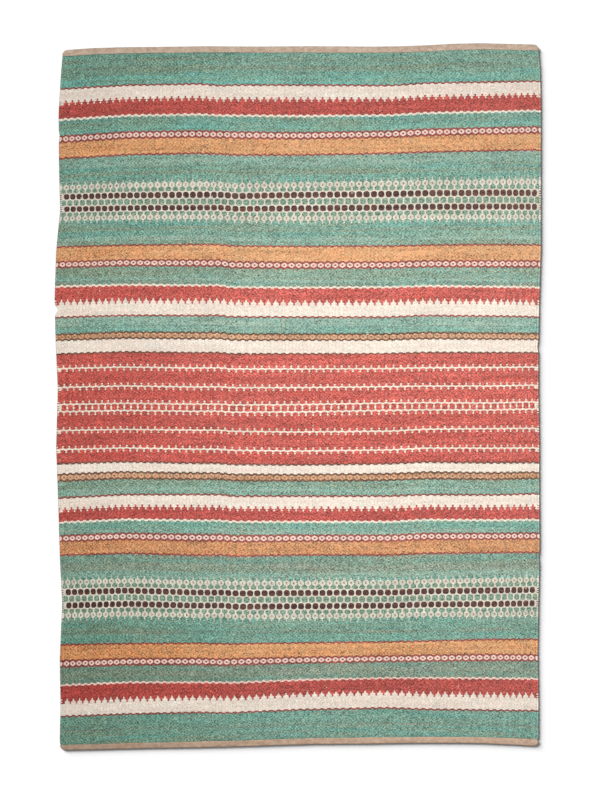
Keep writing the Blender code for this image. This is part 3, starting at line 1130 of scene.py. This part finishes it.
def cloth_material():
    """Dyed jute: each stitch's dye with its painted light and shade, broken up by fibres and by the slant
    of its plies, with painted shade in the grooves.
    """
    wiring = Wiring("dyed_jute")
    shader = wiring.shader
    dye_and_painted_light = wiring.attribute("dye_and_painted_light", "Color")
    tufts = wiring.noise((265.0, 490.0, 400.0), 2.0, 0.65, 0.30)
    fibre = wiring.noise((330.0, 1500.0, 600.0), 2.0, 0.6, -0.4)
    stain = wiring.noise((210.0, 330.0, 210.0), 2.0, 0.6)
    plies = add_plies(wiring)

    shade = wiring.maths(
        "ADD",
        wiring.spread(tufts, -0.80, 0.80, 0.22, 0.78),
        wiring.spread(fibre, -0.16, 0.16, 0.25, 0.75),
    )
    shade = wiring.maths("ADD", shade, wiring.maths("MULTIPLY", plies, 0.10))
    lightness = wiring.nodes.new("ShaderNodeRGBToBW")
    wiring.links.new(dye_and_painted_light, lightness.inputs["Color"])
    strength = wiring.spread(lightness.outputs["Val"], 1.50, 0.45, 0.18, 0.285)
    shade = wiring.maths("ADD", wiring.maths("MULTIPLY", shade, strength), 1.0)
    # Painted shade: darker in the grooves, in the valleys between ribs and at the edges, from the depth
    # attribute
    painted_cavity_shade = wiring.spread(wiring.attribute("depth"), 0.88, 1.02)
    value = wiring.maths("MULTIPLY", shade, painted_cavity_shade)

    tint = wiring.nodes.new("ShaderNodeCombineXYZ")
    wiring.links.new(wiring.spread(stain, 0.92, 1.08, 0.25, 0.75), tint.inputs["X"])
    tint.inputs["Y"].default_value = 1.0
    wiring.links.new(wiring.spread(stain, 1.02, 0.98, 0.25, 0.75), tint.inputs["Z"])
    tinted = wiring.vectors("MULTIPLY", dye_and_painted_light, tint.outputs["Vector"], 1)
    wiring.links.new(wiring.vectors("SCALE", tinted, value, "Scale"), shader.inputs["Base Color"])

    relief = wiring.maths("ADD", tufts, fibre)
    relief = wiring.maths("ADD", relief, wiring.maths("MULTIPLY", plies, 0.25))
    wiring.bump(relief, 0.6, 0.0010)
    wiring.links.new(wiring.spread(fibre, 0.82, 1.0), shader.inputs["Roughness"])
    shader.inputs["Specular IOR Level"].default_value = 0.25
    shader.inputs["Sheen Weight"].default_value = 0.08
    shader.inputs["Sheen Roughness"].default_value = 0.6
    return wiring.material


def tape_material(name, dark, pale):
    """Tan cotton tape: a fine even weave with faded and pinkish patches."""
    wiring = Wiring(name)
    shader = wiring.shader
    patches = wiring.noise((90.0, 140.0, 90.0), 3.0)
    threads = wiring.noise((700.0, 1300.0, 900.0), 2.0)
    ramp = wiring.nodes.new("ShaderNodeValToRGB")
    for element, position, tone in zip(ramp.color_ramp.elements, (0.3, 0.7), (dark, pale)):
        element.position = position
        element.color = (*linear(tone) / FULL_LIGHT, 1.0)
    wiring.links.new(patches, ramp.inputs["Fac"])
    shade = wiring.spread(threads, 0.72, 1.28, 0.25, 0.75)
    # Painted shade from the depth attribute: darker at the fold, and at the left of the foot's tape
    shade = wiring.maths("MULTIPLY", shade, wiring.attribute("depth"))
    shaded = wiring.vectors("SCALE", ramp.outputs["Color"], shade, "Scale")
    wiring.links.new(shaded, shader.inputs["Base Color"])
    wiring.bump(threads, 0.4, 0.0004)
    shader.inputs["Roughness"].default_value = 0.88
    shader.inputs["Specular IOR Level"].default_value = 0.2
    return wiring.material


def build_floor():
    """A plain white floor, which the light washes out."""
    mesh = bpy.data.meshes.new("floor")
    reach = 60.0
    corners = [(-reach, -reach, 0), (reach, -reach, 0), (reach, reach, 0), (-reach, reach, 0)]
    mesh.from_pydata(corners, [], [(0, 1, 2, 3)])
    floor = add_object("floor", mesh)
    floor.location.z = -0.0002
    wiring = Wiring("white_floor")
    shader = wiring.shader
    shader.inputs["Base Color"].default_value = (0.93, 0.93, 0.93, 1.0)
    shader.inputs["Roughness"].default_value = 0.9
    shader.inputs["Specular IOR Level"].default_value = 0.0
    mesh.materials.append(wiring.material)
    return floor


def add_light(name, kind, energy, location, target, items):
    """A light that faces a target and falls on some items only. Gives back its settings."""
    data = bpy.data.lights.new(name, kind)
    data.energy = energy
    light = add_object(name, data)
    light.location = location
    offset = np.array(target, float) - np.array(location, float)
    flat = math.hypot(offset[0], offset[1])
    light.rotation_euler = (math.atan2(flat, -offset[2]), 0.0, math.atan2(-offset[0], offset[1]))
    light.visible_camera = False
    group = bpy.data.collections.new(f"lit_by_{name}")
    for item in items:
        group.objects.link(item)
    light.light_linking.receiver_collection = group
    return data


def light_scene(floor, rug):
    """A soft lamp over the right of the rug, a low lamp from the head's left, and a wash on the floor."""
    world = bpy.data.worlds.new("studio")
    world.use_nodes = True
    background = world.node_tree.nodes["Background"]
    background.inputs["Color"].default_value = (1.0, 1.0, 1.0, 1.0)
    background.inputs["Strength"].default_value = 0.22
    bpy.context.scene.world = world

    soft = add_light("soft_lamp", "AREA", 73.0, (0.27, 0.04, 2.1), (0.24, 0.04, 0.0), rug)
    soft.shape = "DISK"
    soft.size = 0.7

    key = add_light("low_sun", "SUN", 1.7, (-1.2, 1.6, 2.0), (0.0, 0.0, 0.0), rug)
    key.angle = math.radians(12.0)

    wash = add_light("floor_wash", "SUN", 7.0, (-1.3, 1.3, 0.80), (0.0, 0.0, 0.0), [floor])
    wash.angle = math.radians(36.0)


def add_camera():
    data = bpy.data.cameras.new("camera")
    data.lens = LENS
    data.sensor_width = SENSOR
    data.clip_end = 50.0
    camera = add_object("camera", data)
    camera.location = (CAMERA_X, CAMERA_Y, THICKNESS + FRAME_HEIGHT * LENS / SENSOR)
    bpy.context.scene.camera = camera


def strip_ends():
    """The picks at which the cloth is split into pieces, each at the head of a band."""
    wanted = [PICKS * k / STRIPS for k in range(1, STRIPS)]
    inner = [min(BAND_HEADS, key=lambda head: abs(head - place)) for place in wanted]
    return [0, *inner, PICKS - 1]


def main():
    add_camera()
    jute = cloth_material()
    head_tan = tape_material("tan_tape_head", *HEAD_TAPE_TONES)
    foot_tan = tape_material("tan_tape_foot", *FOOT_TAPE_TONES)
    ends = strip_ends()
    rug = []
    for number, (first, last) in enumerate(zip(ends[:-1], ends[1:]), start=1):
        strip = build_strip(f"weave_{number}", first, last, jute)
        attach(strip, "root")
        if number == 1:
            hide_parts("kilim_cloth")
        rug.append(strip)
    tapes = (
        ("head_tape", TAPE_HEAD_SHOWN, True, "binding_head", head_tan),
        ("foot_tape", TAPE_FOOT_SHOWN, False, "binding_foot", foot_tan),
    )
    for name, shown, at_head, node, tan in tapes:
        tape = build_tape(name, shown, at_head, tan)
        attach(tape, "root")
        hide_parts(node)
        rug.append(tape)
    floor = build_floor()
    light_scene(floor, rug)
    bpy.context.scene.view_settings.view_transform = "Standard"


main()
